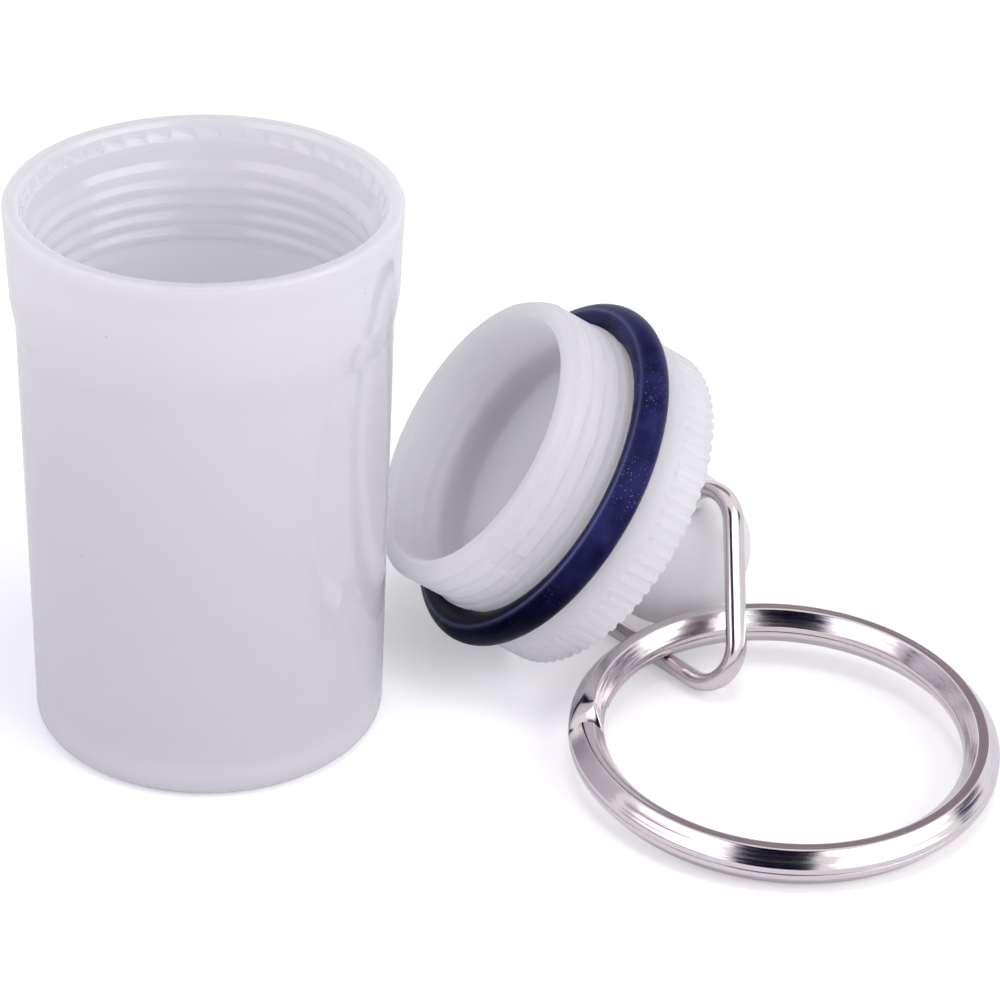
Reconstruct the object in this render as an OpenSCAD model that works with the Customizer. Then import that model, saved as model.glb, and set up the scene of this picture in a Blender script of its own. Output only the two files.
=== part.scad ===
// Pill fob keychain: a plastic canister, its screw cap taken off and lying beside it,
// a rubber O-ring on the cap, a triangular wire link through the cap's boss and a
// two-turn split ring through the link. Millimetres. The origin is the centre of the
// canister's base on the floor, +Z up, +Y away from the viewer.

/* [Canister] */
// Height from the floor to the rim
canister_h = 40; // [36:0.5:46]
// Clear radius just inside the mouth
mouth_r = 11.75; // [10.5:0.05:13]
// Width of the rim from the mouth to the outside of the collar
rim_w = 1.62; // [1.3:0.02:2]
// Height of the straight collar below the rim
collar_h = 6.6; // [5:0.1:9]
// Height of the cone that joins the collar to the body
neck_h = 2.2; // [1.2:0.1:4]
// How much the collar opens from its bottom to the rim
collar_flare = 0.26; // [0:0.02:0.4]
// How far the collar's bottom stands out from the body
collar_step = 0.34; // [0.1:0.02:0.6]
// How much the body narrows from its top to the foot
body_draft = 0.44; // [0:0.02:0.7]
// Radius of the rounded foot edge
foot_round = 0.95; // [0.4:0.05:1.2]
// Thickness of the canister's floor
floor_t = 1.5; // [1:0.1:3]
// Number of the small steps on the mouth's inner edge
tooth_n = 44; // [24:1:60]

/* [Cap] */
// Radial room between the mouth and the plug's core, filled by the threads
thread_room = 0.89; // [0.7:0.01:1.1]
// Length of the plug in front of the O-ring's middle
plug_h = 6.33; // [5:0.1:9]
// Wall of the plug at its mouth
plug_wall = 1.26; // [0.9:0.02:1.8]
// Depth of the plug's hollow
plug_depth = 9.9; // [7:0.1:10.4]
// Length of the flange from the O-ring's seat to its back
flange_l = 4.51; // [3.6:0.05:6]
// How far the flange stays inside the collar's outline
flange_set = 0.85; // [0.6:0.05:1.6]
// Length of the knurled band at the flange's back
knurl_l = 2.6; // [1.6:0.1:3.2]
// Depth of the knurl's grooves
knurl_depth = 0.36; // [0.15:0.01:0.5]
// Number of the knurl's ribs
knurl_n = 80; // [48:1:90]
// Radius of the rounded end of the boss that holds the link
boss_r = 5.95; // [5.6:0.05:6.2]
// How much wider the boss is at the flange
boss_draft = 0.25; // [0:0.05:0.4]
// Length of the boss's straight part behind the flange
boss_l = 6.7; // [5.6:0.05:8]
// Width of the boss between the flats that the hole opens in
boss_w = 9.4; // [8.4:0.1:9.6]
// Distance of the link's hole from the flange's back
hole_back = 4.61; // [4.2:0.05:5]

/* [O-ring] */
// Thickness of the O-ring's round section
o_ring_d = 2.5; // [2:0.05:2.6]
// How far the section's middle lies outside the mouth's radius
o_ring_out = 0.57; // [0.5:0.01:0.8]

/* [Wire link] */
// Thickness of the link's round wire
wire_d = 1.4; // [1:0.05:1.6]
// Side of the triangle between its sharp centreline corners
link_side = 18.1; // [17.8:0.1:20]
// Centreline radius of the link's corners
link_corner = 2.7; // [2.2:0.1:2.9]
// Play of the wire in the boss's hole, on the diameter
hole_play = 1; // [0.7:0.05:1.3]

/* [Split ring] */
// Outside diameter of the split ring
ring_od = 30.3; // [28:0.1:34]
// Radial width of its section
ring_w = 2.5; // [2.2:0.05:2.6]
// Height of its two turns together
ring_h = 2.9; // [2.6:0.05:3]
// Width of the flat along the top of a turn
ring_flat = 0.75; // [0.5:0.05:1]
// Height of the upright band on each turn next to the seam
ring_band = 0.38; // [0.3:0.02:0.7]
// Gap between the two turns
ring_seam = 0.08; // [0.06:0.01:0.2]

/* [Hidden] */
$fn = 96;
canister_colour = [0.83, 0.82, 0.87];
cap_colour = [0.80, 0.79, 0.85];
rubber_colour = [0.07, 0.06, 0.20];
steel_colour = [0.74, 0.70, 0.73];

// Canister: outer radii from the rim down, then the stepped inside of the mouth
rim_r = mouth_r + rim_w;
collar_r = rim_r - collar_flare;
body_r = collar_r - collar_step;
foot_r = body_r - body_draft;
rim_round = 0.27;
neck_top = canister_h - collar_h;
neck_bottom = neck_top - neck_h;
edge_r = mouth_r + 0.53;
lead_r = mouth_r + 0.30;
lead_z = canister_h - 0.43;
tooth_low = canister_h - 1.28;
tooth_r = mouth_r + 0.05;
tooth_deep = 0.18;
tooth_floor = 0.06;
ledge_top = canister_h - 2.73;
ledge_bottom = canister_h - 3.03;
bore_r = mouth_r - 0.45;
inner_round = 1.2;

// Cap: stations along its axis, measured from the O-ring's middle plane
plug_r = mouth_r - thread_room;
cup_mouth_r = plug_r - plug_wall;
cup_foot_r = cup_mouth_r - 0.30;
cup_round = 2;
lip = 0.30;
seat_gap = 0.05;
shoulder_r = mouth_r - 0.37;
shoulder_l = 1;
seat_r = mouth_r + o_ring_out - o_ring_d / 2 - seat_gap;
o_ring_r = mouth_r + o_ring_out;
flange_front = -o_ring_d / 2 - seat_gap;
flange_back = flange_front - flange_l;
flange_r = rim_r - flange_set;
flange_round = 0.3;
hole_s = flange_back - hole_back;
hole_d = wire_d + hole_play;

// The cap lies on its flange's back edge and its axis rises towards the canister
cap_bearing = 194.6;
cap_rise = 35.1;
cap_from = 24.6;
cap_reach = 2 * mouth_r + 2;
touch = 0.01;
cap_z = flange_r * cos(cap_rise) - flange_back * sin(cap_rise) + touch;
cap_at = [cap_reach * cos(cap_from), cap_reach * sin(cap_from), cap_z];

function turn_z(v, g) = [v.x * cos(g) - v.y * sin(g), v.x * sin(g) + v.y * cos(g), v.z];
function turn_y(v, g) = [v.x * cos(g) + v.z * sin(g), v.y, v.z * cos(g) - v.x * sin(g)];
function cap_way(v) = turn_z(turn_y(v, 90 - cap_rise), cap_bearing);

// Link: it hangs in the hole and its far corner comes down to the floor
hole_turn = -16.3;
link_shift = -0.24;
wire_r = wire_d / 2;
link_h = link_side * sin(60);
leg_in = 0.1;
leg_thin = 0.003;
pin_way = cap_way([cos(hole_turn), sin(hole_turn), 0]);
cross_way = cap_way([-sin(hole_turn), cos(hole_turn), 0]);
back_way = cap_way([0, 0, -1]);
pin_mid = cap_at + back_way * -hole_s + pin_way * link_shift;
far_z = wire_r + 0.07;
reach_z = (far_z - pin_mid.z) / link_h;
swing = atan2(cross_way.z, back_way.z) - acos(reach_z / norm([cross_way.z, back_way.z]));
far_way = back_way * cos(swing) + cross_way * sin(swing);
low_corner = pin_mid + pin_way * link_side / 2;
far_corner = pin_mid + far_way * link_h;

// Split ring: one edge on the floor, the other over the link's lower side
ring_r = ring_od / 2 - ring_w / 2;
cross_part = 0.588;
cross_bearing = 124;
uphill = 98.4;
cross_gap = 0.08;
cross_at = low_corner + (far_corner - low_corner) * cross_part;
cross_run = ring_od / 2 + ring_r * cos(cross_bearing - uphill);
ring_tilt = atan((cross_at.z + wire_r + cross_gap) / cross_run);
ring_z = ring_h / 2 * cos(ring_tilt) + ring_od / 2 * sin(ring_tilt) + touch;
ring_at = [cross_at.x - ring_r * cos(cross_bearing), cross_at.y - ring_r * sin(cross_bearing), ring_z];

// The coil starts at the top turn's cut end, steps down once and ends below itself
coil_start = 184.5;
step_start = 527;
step_end = 543;
coil_end = 885.5;
coil_pitch = 4;
step_parts = 8;
edge_cut = 0.06;

module cap_pose() {
    translate(cap_at)
        rotate([0, 90 - cap_rise, cap_bearing])
            children();
}

module ring_pose() {
    translate(ring_at)
        rotate([0, 0, uphill])
            rotate([0, -ring_tilt, 0])
                rotate([0, 0, -uphill])
                    children();
}

module canister_outside() {
    union() {
        polygon([
            [0, 0], [foot_r - foot_round, 0], [foot_r, foot_round],
            [body_r, neck_bottom], [collar_r, neck_top],
            [rim_r, canister_h - rim_round], [rim_r - rim_round, canister_h], [0, canister_h]
        ]);
        translate([foot_r - foot_round, foot_round])
            circle(r = foot_round);
        translate([rim_r - rim_round, canister_h - rim_round])
            circle(r = rim_round);
    }
}

module canister_hollow() {
    polygon([
        [0, floor_t], [bore_r - inner_round, floor_t], [bore_r, floor_t + inner_round],
        [bore_r, ledge_bottom], [mouth_r - 0.30, ledge_bottom], [mouth_r, ledge_top],
        [mouth_r, tooth_low], [tooth_r, tooth_low], [tooth_r, lead_z],
        [lead_r, lead_z], [edge_r, canister_h + touch], [0, canister_h + touch]
    ]);
    translate([bore_r - inner_round, floor_t + inner_round])
        circle(r = inner_round);
}

// Saw-like notches: an upright step, then a ramp back to the crest
module tooth_cuts() {
    pitch = 360 / tooth_n;
    ramp = 0.8 * pitch;
    inside = tooth_r - tooth_deep;
    translate([0, 0, tooth_low + tooth_floor])
        linear_extrude(height = lead_z - tooth_low)
            for (i = [0 : tooth_n - 1])
                rotate([0, 0, i * pitch])
                    polygon([
                        [inside, 0], [tooth_r + tooth_deep, 0],
                        [tooth_r * cos(ramp), tooth_r * sin(ramp)],
                        [inside * cos(ramp), inside * sin(ramp)]
                    ]);
}

module canister() {
    color(canister_colour)
        difference() {
            rotate_extrude()
                canister_outside();
            rotate_extrude()
                canister_hollow();
            tooth_cuts();
        }
}

module cap_body() {
    rotate_extrude() {
        polygon([
            [0, flange_back], [flange_r - flange_round, flange_back],
            [flange_r - flange_round, flange_front], [seat_r, flange_front],
            [seat_r, shoulder_l - 0.15], [shoulder_r, shoulder_l],
            [shoulder_r, shoulder_l + 0.15], [plug_r, shoulder_l + 0.6],
            [plug_r, plug_h - lip], [plug_r - lip, plug_h],
            [cup_mouth_r, plug_h], [0, plug_h]
        ]);
        translate([plug_r - lip, plug_h - lip])
            circle(r = lip);
        translate([flange_r - flange_round, flange_front - flange_round])
            circle(r = flange_round);
        translate([0, flange_back + knurl_l])
            square([flange_r, flange_l - knurl_l - flange_round]);
    }
}

module cap_hollow() {
    rotate_extrude() {
        polygon([
            [0, plug_h - plug_depth], [cup_foot_r - cup_round, plug_h - plug_depth],
            [cup_foot_r, plug_h - plug_depth + cup_round],
            [cup_mouth_r, plug_h + touch], [0, plug_h + touch]
        ]);
        translate([cup_foot_r - cup_round, plug_h - plug_depth + cup_round])
            circle(r = cup_round);
    }
}

module knurl_band() {
    rib_run = 2 * PI * flange_r / knurl_n;
    translate([0, 0, flange_back])
        linear_extrude(height = knurl_l)
            difference() {
                circle(r = flange_r);
                for (i = [0 : knurl_n - 1])
                    rotate([0, 0, i * 360 / knurl_n])
                        translate([flange_r - knurl_depth, -rib_run / 4])
                            square([2 * knurl_depth, rib_run / 2]);
            }
}

module boss() {
    difference() {
        union() {
            translate([0, 0, flange_back - boss_l])
                cylinder(r1 = boss_r, r2 = boss_r + boss_draft, h = boss_l + touch);
            translate([0, 0, flange_back - boss_l])
                sphere(r = boss_r);
        }
        for (side = [-1, 1])
            rotate([0, 0, hole_turn])
                translate([side * boss_r + side * boss_w / 2, 0, flange_back - boss_r - boss_l / 2])
                    cube([2 * boss_r, 3 * boss_r, 2 * boss_r + boss_l], center = true);
    }
}

module link_hole() {
    translate([0, 0, hole_s])
        rotate([0, 0, hole_turn])
            rotate([0, 90, 0])
                cylinder(d = hole_d, h = 3 * boss_r, center = true);
}

module cap() {
    color(cap_colour)
        cap_pose()
            difference() {
                union() {
                    cap_body();
                    knurl_band();
                    boss();
                }
                cap_hollow();
                link_hole();
            }
}

module o_ring() {
    color(rubber_colour)
        cap_pose()
            rotate_extrude()
                translate([o_ring_r, 0])
                    circle(d = o_ring_d);
}

// One bend of the link, its sharp corner at the origin, opening along -Y
module link_bend() {
    wedge = 2 * (link_corner + wire_d);
    translate([0, -link_corner / sin(30), 0])
        intersection() {
            rotate_extrude()
                translate([link_corner, 0])
                    circle(r = wire_r);
            translate([0, 0, -wire_d])
                linear_extrude(height = 2 * wire_d)
                    polygon([
                        [0, 0], [wedge * cos(30), wedge * sin(30)],
                        [0, wedge], [-wedge * cos(30), wedge * sin(30)]
                    ]);
        }
}

// The legs are a hair thinner and end a little way inside the bends
module link_leg() {
    leg_l = link_side - 2 * link_corner / tan(30) + leg_in;
    rotate([0, 90, 0])
        cylinder(r = wire_r - leg_thin, h = leg_l, center = true);
}

module wire_link() {
    color(steel_colour)
        translate(pin_mid)
            rotate([0, 90 - cap_rise, cap_bearing])
                rotate([0, 0, hole_turn])
                    rotate([swing - 90, 0, 0])
                        translate([0, link_h / 3, 0])
                            for (i = [0 : 2])
                                rotate([0, 0, i * 120]) {
                                    translate([0, -link_h / 3, 0])
                                        link_leg();
                                    translate([0, link_h * 2 / 3, 0])
                                        link_bend();
                                }
}

// Coil rule: how far down the step a bearing is, eased at both ends
function fallen(g) =
    let (u = min(1, max(0, (g - step_start) / (step_end - step_start))))
        u * u * (3 - 2 * u);

// Eight corners of the wire's section: the outer bevels belong to the outer side
function coil_section(g) =
    let (
        k = fallen(g),
        turn_h = (ring_h - ring_seam) / 2,
        low = ring_seam / 2 * (1 - k) - (ring_h / 2) * k,
        high = low + turn_h,
        run = (ring_w - ring_flat) / 2,
        drop = turn_h - ring_band,
        upper = max(edge_cut, 1 - k),
        lower = max(edge_cut, k),
        w = ring_w / 2
    )
        [
            [-w + run * lower, low], [w - run * lower, low],
            [w, low + drop * lower], [w, high - drop * upper],
            [w - run * upper, high], [-w + run * upper, high],
            [-w, high - drop * upper], [-w, low + drop * lower]
        ];

function spread(from, to, parts) = [for (i = [0 : parts - 1]) from + (to - from) * i / parts];

module split_ring() {
    long_parts = ceil((step_start - coil_start) / coil_pitch);
    bearings = concat(
        spread(coil_start, step_start, long_parts),
        spread(step_start, step_end, step_parts),
        spread(step_end, coil_end, long_parts),
        [coil_end]
    );
    count = len(bearings);
    points = [
        for (g = bearings)
            for (c = coil_section(g))
                [(ring_r + c.x) * cos(g), (ring_r + c.x) * sin(g), c.y]
    ];
    sides = [
        for (i = [0 : count - 2])
            for (j = [0 : 7])
                let (n = (j + 1) % 8)
                    each [
                        [i * 8 + j, i * 8 + n, (i + 1) * 8 + n],
                        [i * 8 + j, (i + 1) * 8 + n, (i + 1) * 8 + j]
                    ]
    ];
    first = [[for (j = [7 : -1 : 0]) j]];
    last = [[for (j = [0 : 7]) (count - 1) * 8 + j]];
    color(steel_colour)
        ring_pose()
            polyhedron(points = points, faces = concat(sides, first, last), convexity = 6);
}

canister();
cap();
o_ring();
wire_link();
split_ring();
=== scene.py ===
# Pill fob keychain: canister, screw cap with its O-ring, wire link and split ring.
# Lengths in the dictionaries are millimetres and angles degrees; meshes are written in metres.
import bpy
import numpy as np
from mathutils import Matrix, Vector


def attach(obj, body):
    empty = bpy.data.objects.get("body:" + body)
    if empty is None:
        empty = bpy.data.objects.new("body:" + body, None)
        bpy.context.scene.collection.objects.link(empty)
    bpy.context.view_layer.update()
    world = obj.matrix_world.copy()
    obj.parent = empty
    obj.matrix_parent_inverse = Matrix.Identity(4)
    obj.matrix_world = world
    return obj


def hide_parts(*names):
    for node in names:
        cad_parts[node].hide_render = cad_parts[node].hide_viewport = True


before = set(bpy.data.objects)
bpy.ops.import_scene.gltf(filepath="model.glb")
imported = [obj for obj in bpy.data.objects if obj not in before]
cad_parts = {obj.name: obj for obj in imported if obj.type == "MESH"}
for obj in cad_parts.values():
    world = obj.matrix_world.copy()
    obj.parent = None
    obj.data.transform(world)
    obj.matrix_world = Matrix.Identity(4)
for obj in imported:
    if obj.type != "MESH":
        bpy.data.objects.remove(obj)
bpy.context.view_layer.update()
print("frame loaded:", sorted(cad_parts))


millimetre = 0.001
threadEnds = {"fadeOutTurns": 0.2, "fadeInTurns": 0.09}


# shared mesh tools
def smoothStep(value, low, high):
    # 0 below low, 1 above high, eased between them: t squared times (3 - 2t)
    t = np.clip((value - low) / (high - low), 0.0, 1.0)
    return t * t * (3.0 - 2.0 * t)


def smoothMin(a, b, width):
    # the lesser of a and b, with their corner blended over the width
    h = np.clip(0.5 + 0.5 * (b - a) / width, 0.0, 1.0)
    return b * (1.0 - h) + a * h - width * h * (1.0 - h)


def filletPath(corners, steps=5):
    # a polyline whose corners (x, y, radius) are rounded by arcs tangent to both sides
    path = []
    last = len(corners) - 1
    for i, (x, y, radius) in enumerate(corners):
        here = np.array([x, y], float)
        if radius <= 0 or i in (0, last):
            path.append(here[None])
            continue
        back = np.array(corners[i - 1][:2], float) - here
        ahead = np.array(corners[i + 1][:2], float) - here
        back, ahead = back / np.linalg.norm(back), ahead / np.linalg.norm(ahead)
        half = np.arccos(np.clip(back @ ahead, -1, 1)) / 2
        centre = here + (back + ahead) / np.linalg.norm(back + ahead) * radius / np.sin(half)
        start = here + back * radius / np.tan(half) - centre
        end = here + ahead * radius / np.tan(half) - centre
        a0, a1 = np.arctan2(start[1], start[0]), np.arctan2(end[1], end[0])
        a1 = a0 + (a1 - a0 + np.pi) % (2 * np.pi) - np.pi
        a = np.linspace(a0, a1, steps + 1)
        path.append(centre + radius * np.stack([np.cos(a), np.sin(a)], 1))
    return np.concatenate(path)


def refine(path, longest):
    # cuts each side of a polyline into equal parts no longer than longest(middle)
    parts = []
    for a, b in zip(path[:-1], path[1:]):
        n = max(1, int(np.ceil(np.linalg.norm(b - a) / longest((a + b) / 2))))
        parts.append(a + (b - a) * (np.arange(n) / n)[:, None])
    parts.append(path[-1:])
    return np.concatenate(parts)


def gridQuads(rows, cols, wrapRows, wrapCols):
    # the four corner numbers of every cell of a rows x cols grid of points
    i = np.arange(rows if wrapRows else rows - 1)[:, None]
    j = np.arange(cols if wrapCols else cols - 1)[None, :]
    i2, j2 = (i + 1) % rows, (j + 1) % cols
    return np.stack([i * cols + j, i * cols + j2, i2 * cols + j2, i2 * cols + j], -1).reshape(-1, 4)


def endFans(cols, lastRow, first, last):
    # triangles from the first row to the point first, and from the last row to the point last
    j = np.arange(cols)
    j2 = (j + 1) % cols
    return np.concatenate([
        np.stack([np.full(cols, first), j2, j], 1),
        np.stack([np.full(cols, last), lastRow + j, lastRow + j2], 1)])


def buildPiece(name, points, wrapRows=False, poles=False, flatEnds=False, lengthwise=None,
               across=None, sharp=None):
    # a closed skin over a rows x cols grid of points that closes on itself along its columns;
    # poles: the first and last rows are single points; flatEnds: they are filled with fans
    rows, cols = points.shape[:2]
    if poles:
        ring = points[1:-1].reshape(-1, 3)
        inner = gridQuads(rows - 2, cols, False, True)
        verts = np.concatenate([ring, points[:1, 0], points[-1:, 0]])
        tris = endFans(cols, (rows - 3) * cols, len(ring), len(ring) + 1)
    elif flatEnds:
        verts = np.concatenate([points.reshape(-1, 3), points[:1].mean(1), points[-1:].mean(1)])
        inner = gridQuads(rows, cols, False, True)
        tris = endFans(cols, (rows - 1) * cols, rows * cols, rows * cols + 1)
    else:
        verts = points.reshape(-1, 3)
        inner = gridQuads(rows, cols, wrapRows, True)
        tris = np.zeros((0, 3), int)
    # signed volume of the skin: negative means that the faces look inwards
    a, b, c, d = (verts[inner[:, k]] for k in range(4))
    volume = np.einsum("ij,ij->", a, np.cross(b, c)) + np.einsum("ij,ij->", a, np.cross(c, d))
    if len(tris):
        p, q, r = (verts[tris[:, k]] for k in range(3))
        volume += np.einsum("ij,ij->", p, np.cross(q, r))
    if volume < 0:
        inner, tris = inner[:, ::-1], tris[:, ::-1]
    mesh = bpy.data.meshes.new(name)
    mesh.from_pydata((verts * millimetre).tolist(), [], inner.tolist() + tris.tolist())
    mesh.polygons.foreach_set("use_smooth", np.ones(len(mesh.polygons), bool))
    if lengthwise is not None:
        # UV in millimetres: along the wire, and round its section
        layer = mesh.uv_layers.new(name="wireUV")
        u = np.broadcast_to(lengthwise[:, None], (rows, cols)).ravel()
        u = np.concatenate([u, lengthwise[[0, -1]]])
        v = np.broadcast_to(across[None, :], (rows, cols)).ravel()
        v = np.concatenate([v, [0.0, 0.0]])
        corner = np.zeros(len(mesh.loops), np.int32)
        mesh.loops.foreach_get("vertex_index", corner)
        flat = np.stack([u[corner], v[corner]], 1)
        # the last cell of a closed run goes on past its end instead of back to zero
        size = np.zeros(len(mesh.polygons), np.int32)
        mesh.polygons.foreach_get("loop_total", size)
        owner = np.repeat(np.arange(len(size)), size)
        lengthSpan = lengthwise[-1] + lengthwise[1] - lengthwise[0] if wrapRows else 0
        for k, span in ((0, lengthSpan), (1, across[-1] + across[1])):
            if span:
                high = np.zeros(len(size))
                np.maximum.at(high, owner, flat[:, k])
                behind = high[owner] - flat[:, k] > span / 2
                flat[:, k] = np.where(behind, flat[:, k] + span, flat[:, k])
        layer.data.foreach_set("uv", flat.astype(np.float32).ravel())
    if sharp is not None:
        mesh.set_sharp_from_angle(angle=np.radians(sharp))
    mesh.validate()
    piece = bpy.data.objects.new(name, mesh)
    bpy.context.scene.collection.objects.link(piece)
    print(name, len(mesh.vertices), "vertices", len(mesh.polygons), "faces")
    return piece


def threadDepth(height, angle, spec):
    # 0 at the thread's root and 1 on its crest: a helix rising one pitch a turn, a flat-topped
    # ridge across it, faded in at its start and out at its end
    turnPart = (angle - spec["startAngle"]) / 360.0
    along = (height - spec["startHeight"]) / spec["pitch"]
    turn = np.round(along - turnPart)
    offset = np.abs(along - turnPart - turn)
    ridge = 1.0 - smoothStep(offset, spec["crestPart"] / 2, spec["footPart"] / 2)
    run = turn + turnPart
    low = smoothStep(run, -spec["turns"], -spec["turns"] + threadEnds["fadeOutTurns"])
    return ridge * (low * (1.0 - smoothStep(run, -threadEnds["fadeInTurns"], 0.0)))


def node(tree, kind, **inputs):
    # adds a node and sets its properties or sockets by name
    n = tree.nodes.new(kind)
    for key, value in inputs.items():
        socket = key.replace("_", " ")
        if socket in n.inputs and not hasattr(n, key):
            n.inputs[socket].default_value = value
        else:
            setattr(n, key, value)
    return n


def emptyMaterial(name):
    material = bpy.data.materials.new(name)
    material.use_nodes = True
    tree = material.node_tree
    tree.nodes.clear()
    return material, tree, tree.nodes.new("ShaderNodeOutputMaterial")


def newMaterial(name):
    material, tree, output = emptyMaterial(name)
    shader = tree.nodes.new("ShaderNodeBsdfPrincipled")
    tree.links.new(shader.outputs["BSDF"], output.inputs["Surface"])
    return material, tree, shader


def ramp(tree, source, stops):
    # a colour ramp fed by a socket, stops = (place, (r, g, b)) or (place, grey)
    n = tree.nodes.new("ShaderNodeValToRGB")
    elements = n.color_ramp.elements
    while len(elements) < len(stops):
        elements.new(0.5)
    for element, (place, colour) in zip(elements, stops):
        element.position = place
        rgb = colour if hasattr(colour, "__len__") else (colour, colour, colour)
        element.color = (*rgb, 1.0)
    tree.links.new(source, n.inputs["Fac"])
    return n.outputs["Color"]


def noise(tree, vector, scale, detail=2.0, roughness=0.5):
    n = tree.nodes.new("ShaderNodeTexNoise")
    n.inputs["Scale"].default_value = scale
    n.inputs["Detail"].default_value = detail
    n.inputs["Roughness"].default_value = roughness
    tree.links.new(vector, n.inputs["Vector"])
    return n.outputs["Fac"]


def bump(tree, height, strength, distance, before=None):
    n = tree.nodes.new("ShaderNodeBump")
    n.inputs["Strength"].default_value = strength
    n.inputs["Distance"].default_value = distance
    tree.links.new(height, n.inputs["Height"])
    if before is not None:
        tree.links.new(before, n.inputs["Normal"])
    return n.outputs["Normal"]


def maths(tree, operation, first, second):
    # a maths node fed by sockets or numbers; its sums are held between 0 and 1
    n = node(tree, "ShaderNodeMath", operation=operation, use_clamp=operation == "ADD")
    for socket, value in zip(n.inputs, (first, second)):
        if isinstance(value, float):
            socket.default_value = value
        else:
            tree.links.new(value, socket)
    return n.outputs[0]


def blend(tree, factor, under, over):
    # the socket under, covered by the plain colour over as far as the factor says
    n = tree.nodes.new("ShaderNodeMixRGB")
    tree.links.new(factor, n.inputs["Fac"])
    tree.links.new(under, n.inputs["Color1"])
    n.inputs["Color2"].default_value = (*over, 1.0)
    return n.outputs["Color"]


def mapRange(tree, source, fromMin, fromMax, toMin, toMax):
    # an eased change from toMin to toMax while the source goes from fromMin to fromMax
    n = node(tree, "ShaderNodeMapRange", interpolation_type="SMOOTHSTEP")
    ends = {"From Min": fromMin, "From Max": fromMax, "To Min": toMin, "To Max": toMax}
    for key, value in ends.items():
        n.inputs[key].default_value = value
    tree.links.new(source, n.inputs["Value"])
    return n.outputs["Result"]


def mixShaders(tree, factor, first, second):
    n = tree.nodes.new("ShaderNodeMixShader")
    for socket, source in zip(n.inputs, (factor, first, second)):
        tree.links.new(source, socket)
    return n.outputs[0]


# finishes
def mouldedPlastic(name, look):
    # pale translucent plastic: faint cloudiness, a fine moulded grain and a few tiny specks
    material, tree, shader = newMaterial(name)
    place = node(tree, "ShaderNodeTexCoord").outputs["Object"]
    cloud = noise(tree, place, look["cloudScale"], 3.0)
    colour = ramp(tree, cloud, [(0.3, look["shade"]), (0.7, look["light"])])
    cells = tree.nodes.new("ShaderNodeTexVoronoi")
    cells.inputs["Scale"].default_value = look["speckScale"]
    tree.links.new(place, cells.inputs["Vector"])
    size, start = look["speckSize"], look["speckFrom"]
    dot = ramp(tree, cells.outputs["Distance"], [(0.0, 1.0), (size, 1.0), (size * 1.6, 0.0)])
    few = ramp(tree, cells.outputs["Color"], [(start, 0.0), (start + 0.02, 1.0)])
    speckled = blend(tree, maths(tree, "MULTIPLY", dot, few), colour, look["speck"])
    tree.links.new(speckled, shader.inputs["Base Color"])
    patches = noise(tree, place, look["cloudScale"] * 3, 2.0)
    rough = ramp(tree, patches, [(0.3, look["gloss"]), (0.7, look["dull"])])
    tree.links.new(rough, shader.inputs["Roughness"])
    shader.inputs["IOR"].default_value = 1.49
    shader.inputs["Specular IOR Level"].default_value = look["specular"]
    shader.inputs["Subsurface Weight"].default_value = look["glow"]
    shader.inputs["Subsurface Radius"].default_value = (1.0, 1.06, 1.0)
    shader.inputs["Subsurface Scale"].default_value = look["glowDepth"] * millimetre
    grain = noise(tree, place, look["grainScale"], 2.0)
    waves = noise(tree, place, look["waveScale"], 1.0)
    first = bump(tree, waves, look["waveStrength"], 0.0004)
    second = bump(tree, grain, look["grainStrength"], 0.00005, first)
    tree.links.new(second, shader.inputs["Normal"])
    return material


def dustyRubber(name, look):
    # navy-black rubber: a satin skin, dust as pale specks gathered in cloudy patches
    material, tree, shader = newMaterial(name)
    place = node(tree, "ShaderNodeTexCoord").outputs["Object"]
    patch = ramp(tree, noise(tree, place, 190, 2.0), [(0.45, 0.0), (0.66, 1.0)])
    fine = tree.nodes.new("ShaderNodeTexVoronoi")
    fine.inputs["Scale"].default_value = look["dustScale"]
    tree.links.new(place, fine.inputs["Vector"])
    size = look["dustSize"]
    dots = ramp(tree, fine.outputs["Distance"], [(0.0, 1.0), (size, 1.0), (size + 0.08, 0.0)])
    pick = ramp(tree, fine.outputs["Color"], [(0.45, 0.0), (0.6, 1.0)])
    dust = maths(tree, "MULTIPLY", maths(tree, "MULTIPLY", dots, pick), patch)
    # towards the top the colour turns from dark navy to a lighter blue, and the dust lies on the
    # upper side only
    height = node(tree, "ShaderNodeSeparateXYZ")
    tree.links.new(place, height.inputs[0])
    upper = mapRange(tree, height.outputs["Z"], look["dustFrom"], look["dustTo"],
                     look["dustLeast"], 1.0)
    cloud = maths(tree, "MULTIPLY", noise(tree, place, 420, 3.0), upper)
    # lighter blue towards the top, darker navy below
    upperTone = ramp(tree, cloud, [(0.08, look["dark"]), (0.6, look["upperTone"])])
    dusty = blend(tree, maths(tree, "MULTIPLY", dust, upper), upperTone, look["dust"])
    # painted highlight: a paler line painted along one side of the section, where light glints on
    # the rubber
    paintedHighlight = node(tree, "ShaderNodeAttribute", attribute_name="paintedHighlightLine")
    paler = blend(tree, paintedHighlight.outputs["Fac"], dusty, look["paintedHighlight"])
    tree.links.new(paler, shader.inputs["Base Color"])
    rough = ramp(tree, patch, [(0.0, look["gloss"]), (1.0, look["dull"])])
    tree.links.new(rough, shader.inputs["Roughness"])
    shader.inputs["Specular IOR Level"].default_value = look["specular"]
    shader.inputs["Specular Tint"].default_value = (*look["sheen"], 1.0)
    grain = noise(tree, place, 2600, 2.0)
    tree.links.new(bump(tree, grain, 0.25, 0.00003), shader.inputs["Normal"])
    return material


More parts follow.
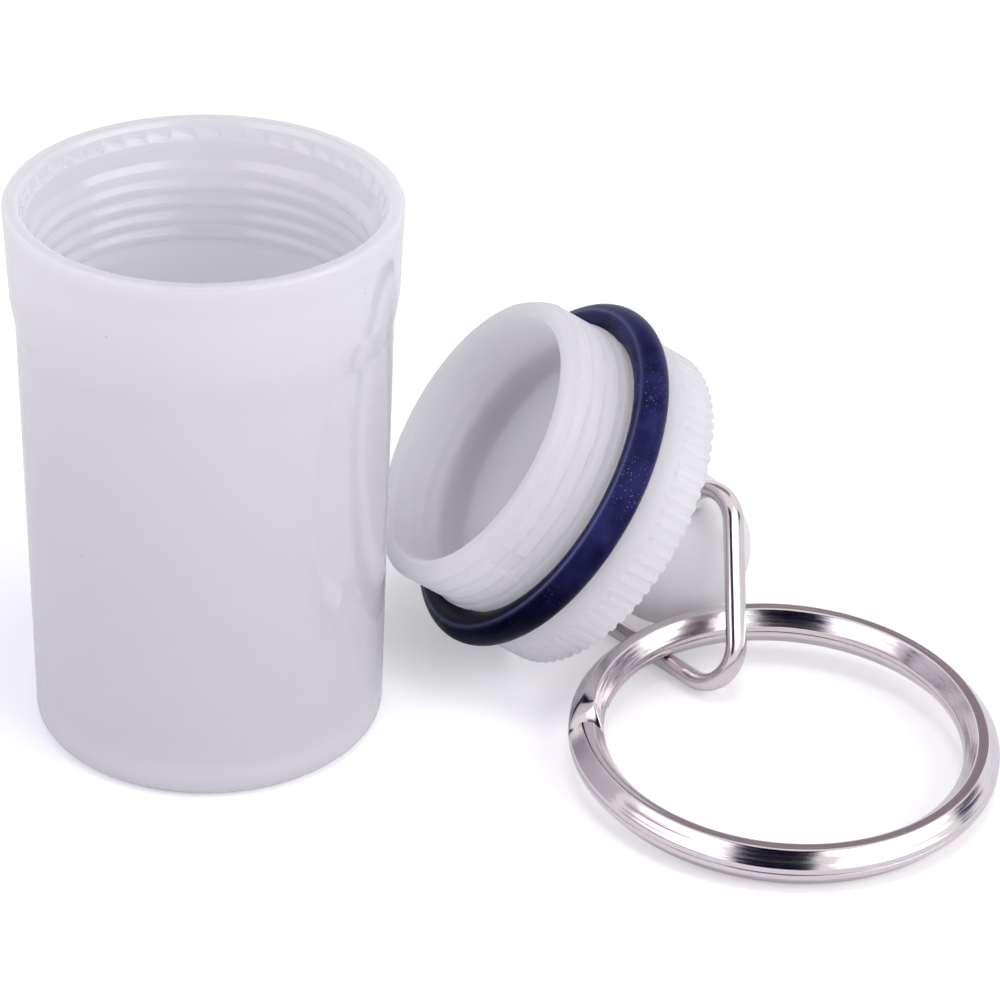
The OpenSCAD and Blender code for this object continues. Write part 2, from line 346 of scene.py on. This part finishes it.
def drawnNickel(name, look):
    # bright nickel over drawn wire: fine lines along the wire from the UV's second coordinate
    material, tree, shader = newMaterial(name)
    uv = node(tree, "ShaderNodeUVMap", uv_map="wireUV").outputs["UV"]
    stretch = node(tree, "ShaderNodeMapping")
    stretch.inputs["Scale"].default_value = (look["lineStretch"], look["lineScale"], 1.0)
    tree.links.new(uv, stretch.inputs["Vector"])
    lines = noise(tree, stretch.outputs["Vector"], 1.0, 3.0, 0.6)
    broad = node(tree, "ShaderNodeMapping")
    broad.inputs["Scale"].default_value = (look["lineStretch"] * 0.6, look["lineScale"] * 0.3, 1.0)
    tree.links.new(uv, broad.inputs["Vector"])
    ridges = noise(tree, broad.outputs["Vector"], 1.0, 1.0)
    place = node(tree, "ShaderNodeTexCoord").outputs["Object"]
    tint = noise(tree, place, 160, 2.0)
    colour = ramp(tree, tint, [(0.3, look["warm"]), (0.7, look["cool"])])
    tree.links.new(colour, shader.inputs["Base Color"])
    shader.inputs["Metallic"].default_value = 1.0
    rough = ramp(tree, lines, [(0.3, look["gloss"]), (0.75, look["dull"])])
    tree.links.new(rough, shader.inputs["Roughness"])
    first = bump(tree, ridges, look["ridgeStrength"], 0.00006)
    second = bump(tree, lines, look["lineStrength"], 0.00003, first)
    tree.links.new(second, shader.inputs["Normal"])
    return material


# canister
canisterShape = {
    "height": 40.0, "teeth": 44, "toothTop": 39.62, "toothFoot": 38.66,
    "toothInner": 11.75, "toothOuter": 12.14, "threadRoot": 11.43, "boreRadius": 11.3,
    "thread": {"pitch": 1.24, "startAngle": 92.0, "startHeight": 36.62, "turns": 5.0,
               "crestPart": 0.16, "footPart": 1.0, "deep": 0.33},
    "fineRow": 0.09, "coarseRow": 2.2,
}


def canisterSkin():
    # a profile turned about Z; inside it, the radius follows the thread's helix and, at the
    # mouth, saw teeth whose tops ramp down once a tooth
    c = canisterShape
    h = c["height"]
    root, bore, foot = c["threadRoot"], c["boreRadius"], c["toothFoot"]
    # radius, height and corner radius: foot, wall, collar, rim, teeth, thread, bore, floor
    corners = [
        (0, 0.25, 0), (9.6, 0.25, 0.3), (10.1, 0, 0.3), (12.33, 0, 0.95),
        (12.77, 31.2, 3.0), (13.11, 33.4, 1.2), (13.37, h, 0.34), (12.38, h, 0.26),
        (c["toothOuter"], c["toothTop"], 0.05), (c["toothOuter"], foot, 0),
        (c["toothInner"], foot - 0.04, 0.04), (c["toothInner"], 37.27, 0.15),
        (root + 0.03, 36.75, 0.2), (root, 36.4, 0),
        (root, 30.7, 0), (bore, 30.2, 0), (bore, 1.5, 1.2), (0, 1.5, 0)]
    path = filletPath(corners)
    inThread = lambda m: m[0] < 11.6 and 30.2 < m[1] < 37.0
    inTeeth = lambda m: 11.7 < m[0] < 12.3 and m[1] > 38.5
    path = refine(path, lambda m: c["fineRow"] if inThread(m) or inTeeth(m) else c["coarseRow"])
    # the columns' places within one tooth, close together at its upright side
    spots = np.array([0.0, 0.03, 0.15, 0.3, 0.45, 0.6, 0.75, 0.9, 0.97])
    degrees = ((np.arange(c["teeth"])[:, None] + spots[None]) / c["teeth"] * 360.0).ravel()
    r = np.broadcast_to(path[:, 0:1], (len(path), len(degrees))).copy()
    z = np.broadcast_to(path[:, 1:2], r.shape)
    inside = np.zeros(len(path), bool)
    inside[np.argmax(path[:, 1]) + 3:] = True
    inside = inside[:, None]
    # teeth: a slanted face from the mouth's wall up to a top that ramps down to the right
    part = (degrees / 360.0 * c["teeth"]) % 1.0
    top = foot + 0.08 + (c["toothTop"] - foot - 0.08) * part[None]
    bite = 1.0 - np.clip((z - foot) / (top - foot), 0.0, 1.0)
    toothZone = inside & (z > foot - 0.001) & (z < 39.66) & (r > 11.9)
    r = np.where(toothZone, r - (c["toothOuter"] - c["toothInner"]) * bite, r)
    underTeeth = inside & (z < foot - 0.001) & (z > foot - 0.1)
    r = np.where(underTeeth, np.minimum(r, c["toothInner"]), r)
    # thread: its ridge stands in from the root
    zone = inside & (z < 37.2) & (z > 29.0) & (r < 11.6)
    r = np.where(zone, r - c["thread"]["deep"] * threadDepth(z, degrees[None], c["thread"]), r)
    a = np.radians(degrees)[None]
    return np.stack([r * np.cos(a), r * np.sin(a), z], -1)


canister = buildPiece("canisterBody", canisterSkin(), poles=True, sharp=75)
canister.data.materials.append(mouldedPlastic("canisterPlastic", {
    "light": (0.925, 0.912, 0.955), "shade": (0.91, 0.895, 0.945), "cloudScale": 38.0,
    "speck": (0.62, 0.58, 0.68), "speckScale": 420.0, "speckSize": 0.022, "speckFrom": 0.72,
    "gloss": 0.07, "dull": 0.12, "specular": 0.5, "glow": 0.95, "glowDepth": 9.0,
    "grainScale": 2600.0, "grainStrength": 0.12, "waveScale": 120.0, "waveStrength": 0.06}))
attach(canister, "canister")
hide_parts("canister")
print("canister done")


# cap
capShape = {
    "middle": (23.186, 10.615, 13.594), "bearing": 194.6, "rise": 35.1,
    "plugEnd": 6.33, "cupDepth": 9.9, "flangeBack": -5.81, "flangeRadius": 12.52,
    "ribs": 80, "ribDepth": 0.23, "ribLength": 2.55,
    "thread": {"pitch": 1.2, "startAngle": 73.0, "startHeight": 5.78, "turns": 3.3,
               "crestPart": 0.60, "footPart": 0.98, "root": 10.86, "crest": 11.18},
    "slot": {"from": 67.5, "to": 76.5, "left": 0.25, "blend": 0.6},
    "bossRadius": 5.95, "bossDraft": 0.25, "bossLength": 6.7, "bossWidth": 9.4, "cheekTurn": -16.3,
    "holeStation": -10.42, "holeRadius": 1.2,
}


def capToWorld(points):
    # the cap's own axis is turned up by its rise and round to its bearing, then moved to its middle
    b, e = np.radians(capShape["bearing"]), np.radians(90.0 - capShape["rise"])
    rz = np.array([[np.cos(b), -np.sin(b), 0], [np.sin(b), np.cos(b), 0], [0, 0, 1]])
    ry = np.array([[np.cos(e), 0, np.sin(e)], [0, 1, 0], [-np.sin(e), 0, np.cos(e)]])
    return points @ (rz @ ry).T + np.array(capShape["middle"])


def capBodySkin():
    # a profile turned about the cap's axis, from the cup's floor over the plug and the flange to
    # the back; the plug's radius follows a helix and the flange's edge the ribs
    c = capShape
    end, back, rim = c["plugEnd"], c["flangeBack"], c["flangeRadius"]
    # radius, station and corner radius
    corners = [
        (0, end - c["cupDepth"], 0), (9.32, end - c["cupDepth"], 5.0), (9.62, end, 0.5),
        (10.80, end, 0.32), (10.86, 5.7, 0), (10.86, 1.85, 0), (11.34, 1.62, 0.1),
        (11.34, 1.08, 0.1), (11.02, 0.88, 0.06), (11.02, -1.30, 0.1), (rim, -1.30, 0.3),
        (rim, back, 0.18), (rim - 2.2, back, 0), (0, back + 0.001, 0)]
    path = filletPath(corners)
    inThread = lambda m: m[0] > 10.5 and 1.7 < m[1] < end - 0.1
    inRibs = lambda m: m[0] > 12.0 and m[1] < -2.9
    path = refine(path, lambda m: 0.09 if inThread(m) else 0.2 if inRibs(m) else 1.5)
    spots = np.array([0.06, 0.25, 0.44, 0.51, 0.58, 0.75, 0.92, 0.99])
    degrees = ((np.arange(c["ribs"])[:, None] + spots[None]) / c["ribs"] * 360.0).ravel()
    s = np.broadcast_to(path[:, 1:2], (len(path), len(degrees)))
    r = np.broadcast_to(path[:, 0:1], s.shape).copy()
    t = c["thread"]
    outer = np.zeros(len(path), bool)
    outer[np.argmax(path[:, 1]) + 1:] = True
    zone = outer[:, None] & (s > 1.86) & (s < 5.95) & (r > 10.5)
    depth = threadDepth(s, degrees[None], t)
    # the mould's parting slot crosses the ridges as a narrow flat
    cut = c["slot"]
    past = smoothStep(degrees, cut["to"], cut["to"] + cut["blend"])
    inSlot = smoothStep(degrees, cut["from"] - cut["blend"], cut["from"]) * (1.0 - past)
    slot = 1.0 - (1.0 - cut["left"]) * inSlot
    r = np.where(zone, t["root"] + (t["crest"] - t["root"]) * depth * slot[None], r)
    # ribs: the grooves between them are cut in from the back over part of the edge
    part = (degrees / 360.0 * c["ribs"]) % 1.0
    groove = 1.0 - smoothStep(np.abs((part + 0.75) % 1.0 - 0.5), 0.17, 0.31)
    alongGroove = 1.0 - smoothStep(s, back + c["ribLength"] - 0.12, back + c["ribLength"] + 0.12)
    edge = smoothStep(r, rim - 0.9, rim - 0.3) * (s < back + c["ribLength"] + 0.2)
    r = r - c["ribDepth"] * groove[None] * alongGroove * edge
    a = np.radians(degrees)[None]
    return capToWorld(np.stack([r * np.cos(a), r * np.sin(a), s], -1))


def bossSkin():
    # a profile turned about the cap's axis, flared into the flange and closed by a half ball;
    # two flat cheeks limit the radius to half the width over the cosine of the turn
    c = capShape
    back, long, ball = c["flangeBack"], c["bossLength"], c["bossRadius"]
    wide = ball + c["bossDraft"]
    turn = np.linspace(0, np.pi / 2, 22)
    cap = np.stack([ball * np.cos(turn), back - long - ball * np.sin(turn)], 1)
    foot = np.array([[0.0, back + 1.2], [wide + 0.9, back + 1.2]])
    flare = np.linspace(0, np.pi / 2, 9)
    fillet = np.stack([wide + 0.95 - 0.95 * np.sin(flare),
                       back + 0.04 - 0.95 * (1 - np.cos(flare))], 1)
    path = refine(np.concatenate([foot, fillet, cap]), lambda m: 0.6)
    degrees = np.linspace(0, 360, 160, endpoint=False)
    s = np.broadcast_to(path[:, 1:2], (len(path), len(degrees)))
    r = np.broadcast_to(path[:, 0:1], s.shape)
    cosine = np.abs(np.cos(np.radians(degrees - c["cheekTurn"])))[None]
    flare = np.maximum(path[:, 0:1] - wide, 0.0) * (s > back - 1.2)
    limit = (c["bossWidth"] / 2 + flare) / np.maximum(cosine, 0.05)
    r = np.minimum(r, np.where(r > 0.5, smoothMin(r, limit, 0.5), r))
    a = np.radians(degrees)[None]
    return capToWorld(np.stack([r * np.cos(a), r * np.sin(a), s], -1))


def drillHole(piece):
    # takes the link's cross hole out of the boss with a cylinder, then drops the cylinder
    c = capShape
    degrees = np.radians(np.linspace(0, 360, 64, endpoint=False))
    x = np.array([-9.0, 9.0])[:, None]
    tube = np.stack([np.broadcast_to(x, (2, 64)), c["holeRadius"] * np.cos(degrees)[None] + 0 * x,
                     c["holeStation"] + c["holeRadius"] * np.sin(degrees)[None] + 0 * x], -1)
    g = np.radians(c["cheekTurn"])
    turned = tube @ np.array([[np.cos(g), -np.sin(g), 0], [np.sin(g), np.cos(g), 0], [0, 0, 1]]).T
    cutter = buildPiece("holeCutter", capToWorld(turned), flatEnds=True)
    modifier = piece.modifiers.new("hole", "BOOLEAN")
    modifier.operation = "DIFFERENCE"
    modifier.solver = "EXACT"
    modifier.object = cutter
    depsgraph = bpy.context.evaluated_depsgraph_get()
    baked = bpy.data.meshes.new_from_object(piece.evaluated_get(depsgraph))
    piece.modifiers.clear()
    piece.data = baked
    bpy.data.objects.remove(cutter)
    baked.polygons.foreach_set("use_smooth", np.ones(len(baked.polygons), bool))
    baked.set_sharp_from_angle(angle=np.radians(40))


capBody = buildPiece("capBody", capBodySkin(), poles=True, sharp=48)
boss = buildPiece("capBoss", bossSkin(), poles=True)
drillHole(boss)
capPlastic = mouldedPlastic("capPlastic", {
    "light": (0.915, 0.90, 0.945), "shade": (0.90, 0.882, 0.935), "cloudScale": 45.0,
    "speck": (0.62, 0.58, 0.68), "speckScale": 460.0, "speckSize": 0.022, "speckFrom": 0.72,
    "gloss": 0.30, "dull": 0.42, "specular": 0.4, "glow": 0.95, "glowDepth": 14.0,
    "grainScale": 2400.0, "grainStrength": 0.3, "waveScale": 180.0, "waveStrength": 0.08})
for piece in (capBody, boss):
    piece.data.materials.clear()
    piece.data.materials.append(capPlastic)
    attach(piece, "cap")
    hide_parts("cap")
print("cap done")


# O-ring
oRingShape = {
    "radius": 12.32, "thickness": 2.5,
    # line: where the painted highlight runs across the section
    "line": {"angle": 73.0, "drift": 3.0, "highAt": 120.0, "width": 6.0},
}


def oRingSkin():
    # a circle carried round the cap's axis, a hair flatter where it is stretched over its seat;
    # the painted highlight line is a bell curve across the section at an angle that drifts round
    # the ring
    turn = np.radians(np.linspace(0, 360, 220, endpoint=False))[:, None]
    roundAngle = np.radians(np.linspace(0, 360, 48, endpoint=False))[None]
    half = oRingShape["thickness"] / 2
    r = oRingShape["radius"] + half * np.cos(roundAngle) * (1 - 0.03 * (np.cos(roundAngle) < 0))
    s = half * np.sin(roundAngle) + 0 * turn
    shine = oRingShape["line"]
    middle = shine["angle"] + shine["drift"] * np.cos(turn - np.radians(shine["highAt"]))
    away = (np.degrees(roundAngle) - middle + 180.0) % 360.0 - 180.0
    # painted highlight: its strength across the section and round the ring
    paintedHighlight = np.exp(-(away / shine["width"]) ** 2) * (0.75 + 0.25 * np.cos(3 * turn + 1.0))
    return capToWorld(np.stack([r * np.cos(turn), r * np.sin(turn), s], -1)), paintedHighlight


oRingPoints, oRingPaintedHighlight = oRingSkin()
oRing = buildPiece("oRing", oRingPoints, wrapRows=True)
# the painted highlight reaches the rubber's colour through this point attribute
paintedHighlightLine = oRing.data.attributes.new("paintedHighlightLine", "FLOAT", "POINT")
paintedHighlightLine.data.foreach_set("value", oRingPaintedHighlight.astype(np.float32).ravel())
oRing.data.materials.append(dustyRubber("oRingRubber", {
    "dark": (0.0005, 0.0004, 0.010), "upperTone": (0.025, 0.024, 0.104), "dust": (0.24, 0.235, 0.33),
    # the painted highlight's colour
    "paintedHighlight": (0.11, 0.12, 0.26),
    "dustScale": 5200.0, "dustSize": 0.17, "dustFrom": 0.008, "dustTo": 0.019,
    "dustLeast": 0.12,
    "gloss": 0.24, "dull": 0.42, "specular": 0.05, "sheen": (0.35, 0.35, 1.0)}))
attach(oRing, "cap")
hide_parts("o_ring")
print("O-ring done")


# wire link
linkShape = {
    "pin": (31.580, 12.732, 7.791), "swing": -294.567, "side": 18.1, "bend": 2.7,
    "inPlane": 1.30, "through": 1.80, "around": 5.0, "columns": 32,
}


def linkSkin():
    # an oval section carried round a triangle whose corners are arcs; the triangle's first side
    # runs through the boss and its far corner lies on the floor
    c = linkShape
    side, bend = c["side"], c["bend"]
    centre = np.array([0.0, side * np.sin(np.pi / 3) / 3])
    inner = side / np.sqrt(3) - 2 * bend
    runs = []
    for k in range(3):
        middle = np.radians(90.0 + 120.0 * k)
        a = np.linspace(middle - np.pi / 3, middle + np.pi / 3, 17)
        runs.append(centre + inner * np.array([np.cos(middle), np.sin(middle)])
                    + bend * np.stack([np.cos(a), np.sin(a)], 1))
    path = np.concatenate(runs)
    closed = np.concatenate([path, path[:1]])
    path = refine(closed, lambda m: 0.5)[:-1]
    ahead = np.roll(path, -1, 0) - np.roll(path, 1, 0)
    ahead /= np.linalg.norm(ahead, axis=1)[:, None]
    outward = np.stack([ahead[:, 1], -ahead[:, 0]], 1)
    length = np.concatenate([[0], np.cumsum(np.linalg.norm(np.diff(path, axis=0), axis=1))])
    v = np.radians(np.linspace(0, 360, c["columns"], endpoint=False))[None]
    half, thick = c["inPlane"] / 2, c["through"] / 2
    flat = path[:, None, :] + outward[:, None, :] * (half * np.cos(v))[..., None]
    local = np.concatenate([flat, (thick * np.sin(v) + 0 * length[:, None])[..., None]], -1)
    g, b = np.radians(c["swing"] - 90.0), np.radians(capShape["cheekTurn"])
    rx = np.array([[1, 0, 0], [0, np.cos(g), -np.sin(g)], [0, np.sin(g), np.cos(g)]])
    rz = np.array([[np.cos(b), -np.sin(b), 0], [np.sin(b), np.cos(b), 0], [0, 0, 1]])
    turned = local @ (rz @ rx).T
    world = capToWorld(turned) - np.array(capShape["middle"]) + np.array(c["pin"])
    across = np.linspace(0, c["around"], c["columns"], endpoint=False)
    return world, length, across


linkPoints, linkLength, linkAcross = linkSkin()
link = buildPiece("wireLink", linkPoints, wrapRows=True, lengthwise=linkLength,
                  across=linkAcross)
link.data.materials.append(drawnNickel("linkNickel", {
    "warm": (0.70, 0.64, 0.655), "cool": (0.73, 0.68, 0.71), "lineStretch": 0.06, "lineScale": 3.2,
    "gloss": 0.14, "dull": 0.22, "ridgeStrength": 0.04, "lineStrength": 0.12}))
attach(link, "wire_link")
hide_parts("wire_link")
print("link done")


# split ring
ringShape = {
    "middle": (40.851, -5.634, 2.285), "tilt": 3.132, "uphill": 98.4, "outside": 30.3,
    "width": 2.5, "height": 2.9, "flat": 0.75, "band": 0.38, "seam": 0.02,
    "start": 184.5, "stepFrom": 527.0, "outerStep": 16.0, "innerStep": 10.0, "stepTo": 543.0,
    "end": 885.5, "edge": 0.12, "rowEvery": 1.6, "stepRows": 26, "leastBevel": 0.06,
}


def roundedSection(corner, radius, steps=4):
    # a closed section for every station: each corner of the polygon becomes a short quadratic
    # curve that starts and ends a radius away from it along its two sides
    before, after = np.roll(corner, 1, 1), np.roll(corner, -1, 1)
    a, b = before - corner, after - corner
    la, lb = np.linalg.norm(a, axis=2, keepdims=True), np.linalg.norm(b, axis=2, keepdims=True)
    p = corner + a / la * np.minimum(radius, la * 0.45)
    q = corner + b / lb * np.minimum(radius, lb * 0.45)
    t = np.linspace(0, 1, steps)[None, None, :, None]
    curve = ((1 - t) ** 2 * p[:, :, None] + 2 * t * (1 - t) * corner[:, :, None]
             + t ** 2 * q[:, :, None])
    side = (q[:, :, None] * (1 - np.array([1, 2]) / 3)[None, None, :, None]
            + np.roll(p, -1, 1)[:, :, None] * (np.array([1, 2]) / 3)[None, None, :, None])
    return np.concatenate([curve, side], 2).reshape(corner.shape[0], -1, 2)


def splitRingSkin():
    # two turns of a nine-cornered section; between the step's bearings it goes down from the
    # upper turn to the lower one, its outer half first, and its bevels change from top to bottom
    c = ringShape
    every, least = c["rowEvery"], c["leastBevel"]
    g = np.concatenate([
        np.arange(c["start"], c["stepFrom"], every),
        np.linspace(c["stepFrom"], c["stepTo"], c["stepRows"]),
        c["end"] - np.arange(0, c["end"] - c["stepTo"] - 0.5, every)[::-1]])
    k = smoothStep(g, c["stepFrom"], c["stepFrom"] + c["outerStep"])
    late = smoothStep(g, c["stepTo"] - c["innerStep"], c["stepTo"])
    turn = (c["height"] - c["seam"]) / 2
    low = c["seam"] / 2 * (1 - k) - c["height"] / 2 * k
    high = low + turn
    highLate = c["seam"] / 2 * (1 - late) - c["height"] / 2 * late + turn
    run, drop = (c["width"] - c["flat"]) / 2, turn - c["band"]
    up, down, upLate = np.maximum(least, 1 - k), np.maximum(least, k), np.maximum(least, 1 - late)
    w = c["width"] / 2 + 0 * g
    x = np.stack([-w + run * down, w - run * down, w, w, w - run * up, 0 * g,
                  -w + run * upLate, -w, -w], 1)
    y = np.stack([low, low, low + drop * down, high - drop * up, high, (high + highLate) / 2,
                  highLate, highLate - drop * upLate, low + drop * down], 1)
    section = roundedSection(np.stack([x, y], 2), c["edge"])
    a = np.radians(g)[:, None]
    r = (c["outside"] - c["width"]) / 2 + section[..., 0]
    flat = np.stack([r * np.cos(a), r * np.sin(a), section[..., 1]], -1)
    u, t = np.radians(c["uphill"]), np.radians(c["tilt"])
    rz = np.array([[np.cos(u), -np.sin(u), 0], [np.sin(u), np.cos(u), 0], [0, 0, 1]])
    ry = np.array([[np.cos(t), 0, -np.sin(t)], [0, 1, 0], [np.sin(t), 0, np.cos(t)]])
    world = flat @ (rz @ ry @ rz.T).T + np.array(c["middle"])
    length = np.radians(g) * (c["outside"] - c["width"]) / 2
    edge = np.linalg.norm(np.diff(section[0], axis=0), axis=1)
    across = np.concatenate([[0], np.cumsum(edge)])
    return world, length, across


ringPoints, ringLength, ringAcross = splitRingSkin()
ring = buildPiece("splitRing", ringPoints, flatEnds=True, lengthwise=ringLength,
                  across=ringAcross, sharp=60)
ring.data.materials.append(drawnNickel("ringNickel", {
    "warm": (0.70, 0.64, 0.655), "cool": (0.73, 0.68, 0.71), "lineStretch": 0.08, "lineScale": 5.5,
    "gloss": 0.085, "dull": 0.225, "ridgeStrength": 0.80, "lineStrength": 0.42}))
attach(ring, "split_ring")
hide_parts("split_ring")
print("split ring done")


# studio
studio = {
    "ambient": 0.475, "ambientTint": (0.94, 0.915, 1.0), "leftBox": 1.1,
    "leftTint": (0.90, 0.86, 1.0), "rightBox": 2.4, "topBox": 5.3, "lowBox": 1.25,
    "floorAlbedo": 0.90, "floorLift": 0.30, "floorFarLift": 0.60, "floorMirror": 0.2,
    "floorHalf": 3.0, "floorLevel": -0.00015, "liftFrom": 0.12, "liftTo": 0.45,
    "middle": (0.026, 0.0, 0.012),
}
viewer = {
    "lens": 129.6, "sensor": 36.0, "near": 0.01, "far": 20.0,
    "place": (0.02033, -0.21536, 0.14490), "forward": (0.0, 0.8607, -0.5092),
    "right": (0.99935, 0.0184, 0.0311),
}
squareCorners = ((-1, -1), (1, -1), (1, 1), (-1, 1))


def flatCard(name, corners):
    mesh = bpy.data.meshes.new(name)
    mesh.from_pydata(corners, [], [(0, 1, 2, 3)])
    card = bpy.data.objects.new(name, mesh)
    bpy.context.scene.collection.objects.link(card)
    return card


def pointAt(place, target):
    # turns an object's -Z axis from its place towards the target
    way = Vector(target) - Vector(place)
    return Matrix.Translation(place) @ way.to_track_quat("-Z", "Y").to_matrix().to_4x4()


def seenDirectly(tree, glossyShare):
    # 1 for camera and transmission rays and the share for glossy ones, 0 for all others
    rays = node(tree, "ShaderNodeLightPath")
    glossy = maths(tree, "MULTIPLY", rays.outputs["Is Glossy Ray"], glossyShare)
    seen = maths(tree, "ADD", rays.outputs["Is Camera Ray"], glossy)
    return maths(tree, "ADD", seen, rays.outputs["Is Transmission Ray"])


half = studio["floorHalf"]
floor = flatCard("floor", [(half * x, half * y, studio["floorLevel"]) for x, y in squareCorners])
floorPaint, floorTree, floorOut = emptyMaterial("floorPaint")
matte = node(floorTree, "ShaderNodeBsdfDiffuse", Color=(studio["floorAlbedo"],) * 3 + (1,))
# away from the object the floor shows as bright as the backdrop
away = node(floorTree, "ShaderNodeVectorMath", operation="LENGTH")
floorTree.links.new(node(floorTree, "ShaderNodeTexCoord").outputs["Object"], away.inputs[0])
lift = node(floorTree, "ShaderNodeEmission")
strength = mapRange(floorTree, away.outputs["Value"], studio["liftFrom"], studio["liftTo"],
                    studio["floorLift"], studio["floorFarLift"])
floorTree.links.new(strength, lift.inputs["Strength"])
dark = node(floorTree, "ShaderNodeEmission", Strength=0.0)
choose = mixShaders(floorTree, seenDirectly(floorTree, studio["floorMirror"]),
                    dark.outputs[0], lift.outputs[0])
addUp = floorTree.nodes.new("ShaderNodeAddShader")
floorTree.links.new(matte.outputs[0], addUp.inputs[0])
floorTree.links.new(choose, addUp.inputs[1])
floorTree.links.new(addUp.outputs[0], floorOut.inputs["Surface"])
floor.data.materials.append(floorPaint)

world = bpy.data.worlds.new("studioWorld")
bpy.context.scene.world = world
world.use_nodes = True
worldTree = world.node_tree
worldTree.nodes.clear()
worldOut = worldTree.nodes.new("ShaderNodeOutputWorld")
soft = node(worldTree, "ShaderNodeBackground", Color=(*studio["ambientTint"], 1),
            Strength=studio["ambient"])
white = node(worldTree, "ShaderNodeBackground", Color=(1, 1, 1, 1), Strength=1.0)
sky = mixShaders(worldTree, seenDirectly(worldTree, 1.0), soft.outputs[0], white.outputs[0])
worldTree.links.new(sky, worldOut.inputs["Surface"])


def fromMiddle(azimuth, elevation, distance):
    # a place round the object: azimuth 0 is the viewer's side and grows to the right
    a, e = np.radians(azimuth), np.radians(elevation)
    x, y, z = studio["middle"]
    return (x + distance * np.sin(a) * np.cos(e), y - distance * np.cos(a) * np.cos(e),
            z + distance * np.sin(e))


def softBox(name, azimuth, elevation, distance, width, height, radiance, mirrored=True,
            tint=(1, 1, 1)):
    # an area lamp whose power gives the wanted radiance: power = radiance x pi x area
    data = bpy.data.lights.new(name, "AREA")
    data.shape = "RECTANGLE"
    data.size, data.size_y = width, height
    data.energy = radiance * np.pi * width * height
    data.color = tint
    lamp = bpy.data.objects.new(name, data)
    bpy.context.scene.collection.objects.link(lamp)
    lamp.matrix_world = pointAt(fromMiddle(azimuth, elevation, distance), studio["middle"])
    lamp.visible_camera = False
    lamp.visible_glossy = mirrored


def mirrorCard(name, azimuth, elevation, distance, width, height, colour):
    # a card that only the reflections see
    frameOf = pointAt(fromMiddle(azimuth, elevation, distance), studio["middle"])
    corners = [tuple(frameOf @ Vector((x * width / 2, y * height / 2, 0)))
               for x, y in squareCorners]
    card = flatCard(name, corners)
    card.visible_camera = card.visible_diffuse = False
    card.visible_shadow = card.visible_transmission = False
    paint, tree, out = emptyMaterial(name + "Paint")
    glow = node(tree, "ShaderNodeEmission", Color=(*colour, 1), Strength=1.0)
    tree.links.new(glow.outputs[0], out.inputs["Surface"])
    card.data.materials.append(paint)


# azimuth, elevation, distance, width, height, then the light's radiance or the card's colour
softBox("boxLeft", -55, 43, 0.7, 0.56, 0.37, studio["leftBox"], tint=studio["leftTint"])
softBox("boxRight", 62, 36, 0.7, 0.66, 0.37, studio["rightBox"])
softBox("boxTop", 20, 84, 0.7, 0.24, 0.24, studio["topBox"], mirrored=False)
softBox("boxLow", -24, 11, 0.8, 0.60, 0.26, studio["lowBox"], mirrored=False,
        tint=studio["leftTint"])
mirrorCard("cardFront", -3, 45, 0.9, 0.56, 0.90, (0.003, 0.002, 0.016))
mirrorCard("cardRight", 104, 15, 0.9, 0.30, 0.20, (0.04, 0.04, 0.11))
mirrorCard("cardBack", 174, 42, 0.9, 0.90, 0.45, (0.32, 0.26, 0.30))
mirrorCard("cardLeft", -60, 17, 0.9, 0.80, 0.32, (0.46, 0.41, 0.44))

cameraData = bpy.data.cameras.new("viewer")
cameraData.lens = viewer["lens"]
cameraData.sensor_width = viewer["sensor"]
cameraData.sensor_fit = "HORIZONTAL"
cameraData.clip_start = viewer["near"]
cameraData.clip_end = viewer["far"]
camera = bpy.data.objects.new("viewer", cameraData)
bpy.context.scene.collection.objects.link(camera)
right = Vector(viewer["right"]).normalized()
forward = Vector(viewer["forward"]).normalized()
right = (right - right.dot(forward) * forward).normalized()
turned = Matrix((right, right.cross(forward), -forward)).transposed()
camera.matrix_world = Matrix.Translation(viewer["place"]) @ turned.to_4x4()
bpy.context.scene.camera = camera
bpy.context.scene.view_settings.view_transform = "Standard"

print("studio and camera done")
